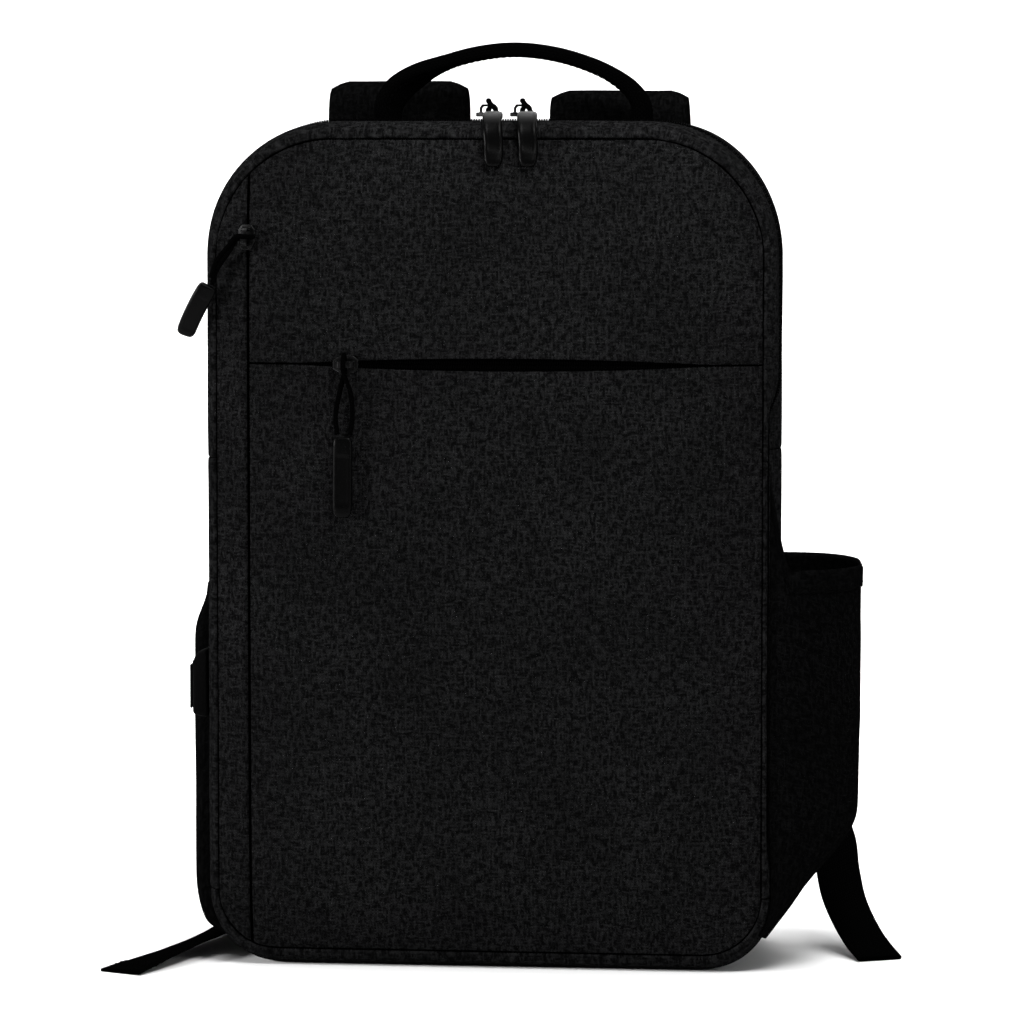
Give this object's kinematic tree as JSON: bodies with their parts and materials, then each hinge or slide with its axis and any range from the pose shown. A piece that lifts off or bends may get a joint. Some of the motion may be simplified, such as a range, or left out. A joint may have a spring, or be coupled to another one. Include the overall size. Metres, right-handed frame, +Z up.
{
  "type": "laptop backpack",
  "caption": "Slim upright laptop backpack of heathered cloth with a front zip pocket, side pockets, padded shoulder straps and a webbing carry handle.",
  "frame": {"origin": "middle of the flat underside of the base, on the surface that the bag stands on", "axes": "+Z up, the front of the bag faces -Y, +X to the right of someone who looks at the front"},
  "size_m": [0.4067, 0.2103, 0.4752],
  "materials": {
    "heather_cloth": "heathered dark charcoal polyester",
    "black_cloth": "smooth black polyester",
    "air_mesh": "padded black air mesh",
    "webbing": "woven black webbing and cord",
    "zip_tape": "black zip tape with a nylon coil",
    "moulded_rubber": "soft moulded black rubber",
    "moulded_plastic": "moulded black plastic",
    "black_metal": "black enamelled zip slider"
  },
  "bodies": {
    "root": {"front_upper_panel": "heather_cloth", "front_lower_panel": "heather_cloth", "front_side_panel": "heather_cloth", "front_zip_tape": "zip_tape", "side_zip_tape": "zip_tape", "gusset_front_band": "heather_cloth", "gusset_back_band": "heather_cloth", "main_zip_tape": "zip_tape", "main_zip_chain": "zip_tape", "gusset_side_left": "heather_cloth", "gusset_side_right": "heather_cloth", "base_panel": "heather_cloth", "back_panel": "air_mesh", "carry_handle": "webbing", "bottle_pocket": "black_cloth", "slip_pocket": "black_cloth", "port_housing": "moulded_plastic", "port_cover": "moulded_rubber", "main_left_slider": "black_metal", "main_left_pull_cord": "webbing", "main_left_pull_grip": "moulded_rubber", "main_right_slider": "black_metal", "main_right_pull_cord": "webbing", "main_right_pull_grip": "moulded_rubber", "front_slider": "black_metal", "front_pull_cord": "webbing", "front_pull_grip": "moulded_rubber", "side_slider": "black_metal", "side_pull_cord": "webbing", "side_pull_grip": "moulded_rubber", "shoulder_strap_left": "black_cloth", "ladder_lock_left": "moulded_plastic", "buckle_tab_left": "webbing", "anchor_tab_left": "black_cloth", "adjuster_webbing_left": "webbing", "shoulder_strap_right": "black_cloth", "ladder_lock_right": "moulded_plastic", "buckle_tab_right": "webbing", "anchor_tab_right": "black_cloth", "adjuster_webbing_right": "webbing"}
  },
  "joints": []
}
